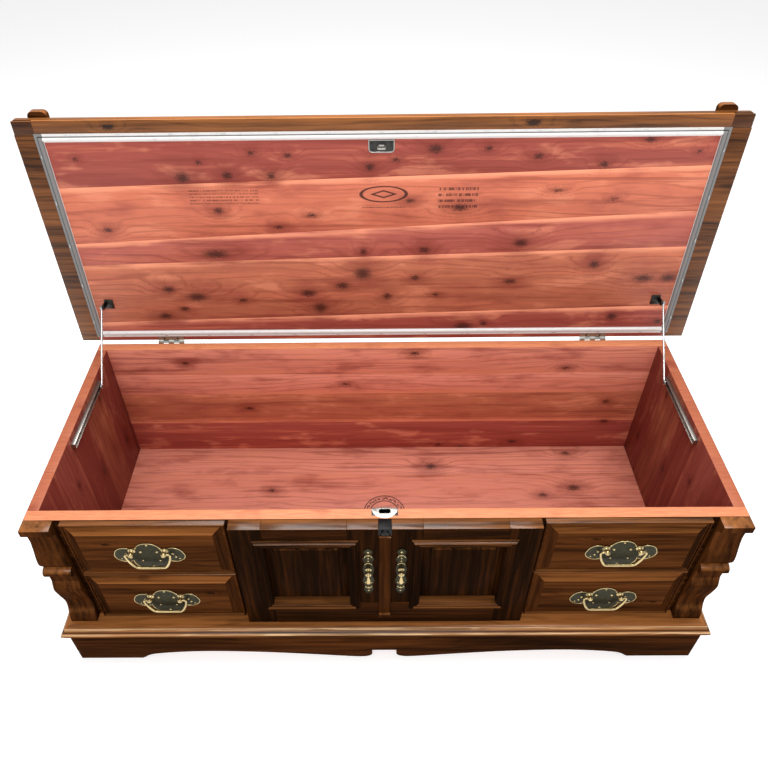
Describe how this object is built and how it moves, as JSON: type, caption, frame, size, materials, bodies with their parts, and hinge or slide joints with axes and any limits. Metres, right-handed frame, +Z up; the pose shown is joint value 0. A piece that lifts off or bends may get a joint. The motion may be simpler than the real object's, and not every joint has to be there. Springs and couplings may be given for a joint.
{
  "type": "hope chest",
  "caption": "Cedar-lined chest with a hinged lid on sliding stays, false drawer and door front, bail pulls, pendant drops, a push-button lock and a bracketed base",
  "frame": {"origin": "on the floor, in the middle of the chest's footprint with the lid standing open", "axes": "+X to the right as seen from the front, +Y from the front to the back, +Z up"},
  "size_m": [1.272, 0.5487, 0.9112],
  "materials": {
    "stained_pine": "dark walnut-brown stain under a satin lacquer",
    "cedar": "raw planed aromatic cedar, salmon red with cream sapwood streaks",
    "base_moulding": "amber-brown stain, worn lighter along its beads",
    "lid_border": "warm brown stain under a satin lacquer",
    "antique_brass": "antique brass, dark in its hollows and pale along its edges",
    "nickel": "nickel-plated pressed steel",
    "grey_steel": "dark zinc-plated pressed steel",
    "bright_rod": "bright plated rod",
    "seal_strip": "soft silver-white weather strip",
    "black_metal": "black enamelled lock housing"
  },
  "bodies": {
    "case": {"front_board": "cedar", "rear_boards": "cedar", "end_boards_left": "cedar", "end_boards_right": "cedar", "floor_boards": "cedar", "front_frame": "stained_pine", "door_panel_left": "stained_pine", "door_panel_right": "stained_pine", "door_moulding_left": "stained_pine", "door_moulding_right": "stained_pine", "centre_post": "stained_pine", "drawer_front_upper_left": "stained_pine", "drawer_front_upper_right": "stained_pine", "drawer_front_lower_left": "stained_pine", "drawer_front_lower_right": "stained_pine", "pilaster_left": "stained_pine", "pilaster_right": "stained_pine", "base_moulding_front": "base_moulding", "base_moulding_left": "base_moulding", "base_moulding_right": "base_moulding", "apron_front": "stained_pine", "apron_left": "stained_pine", "apron_right": "stained_pine", "apron_rear": "stained_pine", "case_hinge_leaves": "nickel", "hinge_pins": "nickel", "stay_tracks": "nickel", "pull_plates": "antique_brass", "pull_posts": "antique_brass", "pendant_plates": "antique_brass", "pendant_knobs": "antique_brass", "lock_plate": "nickel", "lock_case": "grey_steel", "lock_barrel": "black_metal", "case_screws": "grey_steel"},
    "lid": {"lid_top": "stained_pine", "lid_rail_left": "stained_pine", "lid_rail_right": "stained_pine", "lid_end_strips": "lid_border", "lid_front_rail": "lid_border", "lid_corner_blocks": "lid_border", "lid_lining": "cedar", "lid_seal": "seal_strip", "keeper_plate": "grey_steel", "lid_hinge_leaves": "nickel", "stay_brackets": "grey_steel", "lid_screws": "grey_steel"},
    "stay_arm_left": {"stay_rod_left": "bright_rod"},
    "stay_shoe_left": {"stay_slider_left": "grey_steel"},
    "stay_arm_right": {"stay_rod_right": "bright_rod"},
    "stay_shoe_right": {"stay_slider_right": "grey_steel"},
    "handle_upper_left": {"bail_upper_left": "antique_brass"},
    "handle_upper_right": {"bail_upper_right": "antique_brass"},
    "handle_lower_left": {"bail_lower_left": "antique_brass"},
    "handle_lower_right": {"bail_lower_right": "antique_brass"},
    "pendant_left": {"pendant_drop_left": "antique_brass"},
    "pendant_right": {"pendant_drop_right": "antique_brass"},
    "button": {"push_button": "black_metal", "latch_slide": "grey_steel"}
  },
  "joints": [
    {"name": "lid_hinge", "type": "hinge", "parent": "case", "child": "lid", "pos_m": [0, 0.21451, 0.4225], "axis": [1, 0, 0], "range_deg": [0, 92.4]},
    {"name": "stay_rod_left_pivot", "type": "hinge", "parent": "lid", "child": "stay_arm_left", "pos_m": [-0.569, 0.20912, 0.52081], "axis": [1, 0, 0], "range_deg": [-137, 0]},
    {"name": "stay_slider_left_slide", "type": "slide", "parent": "case", "child": "stay_shoe_left", "axis": [0, -1, 0], "range_m": [0, 0.146]},
    {"name": "stay_rod_right_pivot", "type": "hinge", "parent": "lid", "child": "stay_arm_right", "pos_m": [0.569, 0.20912, 0.52081], "axis": [1, 0, 0], "range_deg": [-137, 0]},
    {"name": "stay_slider_right_slide", "type": "slide", "parent": "case", "child": "stay_shoe_right", "axis": [0, -1, 0], "range_m": [0, 0.146]},
    {"name": "bail_upper_left_swing", "type": "hinge", "parent": "case", "child": "handle_upper_left", "pos_m": [-0.4015, -0.25759, 0.355], "axis": [1, 0, 0], "range_deg": [-80, 0]},
    {"name": "bail_upper_right_swing", "type": "hinge", "parent": "case", "child": "handle_upper_right", "pos_m": [0.4015, -0.25759, 0.355], "axis": [1, 0, 0], "range_deg": [-80, 0]},
    {"name": "bail_lower_left_swing", "type": "hinge", "parent": "case", "child": "handle_lower_left", "pos_m": [-0.4015, -0.25759, 0.206], "axis": [1, 0, 0], "range_deg": [-80, 0]},
    {"name": "bail_lower_right_swing", "type": "hinge", "parent": "case", "child": "handle_lower_right", "pos_m": [0.4015, -0.25759, 0.206], "axis": [1, 0, 0], "range_deg": [-80, 0]},
    {"name": "pendant_left_swing", "type": "hinge", "parent": "case", "child": "pendant_left", "pos_m": [-0.0285, -0.26349, 0.302], "axis": [1, 0, 0], "range_deg": [-60, 0]},
    {"name": "pendant_right_swing", "type": "hinge", "parent": "case", "child": "pendant_right", "pos_m": [0.0285, -0.26349, 0.302], "axis": [1, 0, 0], "range_deg": [-60, 0]},
    {"name": "button_push", "type": "slide", "parent": "case", "child": "button", "axis": [0, 1, 0], "range_m": [0, 0.0035], "stiffness_N_per_m": 400}
  ],
  "couplings": [
    {"joint": "stay_rod_left_pivot", "follows": "lid_hinge", "ratio": -1.474},
    {"joint": "stay_slider_left_slide", "follows": "lid_hinge", "m_per_rad": 0.090282},
    {"joint": "stay_rod_right_pivot", "follows": "lid_hinge", "ratio": -1.474},
    {"joint": "stay_slider_right_slide", "follows": "lid_hinge", "m_per_rad": 0.090282}
  ]
}
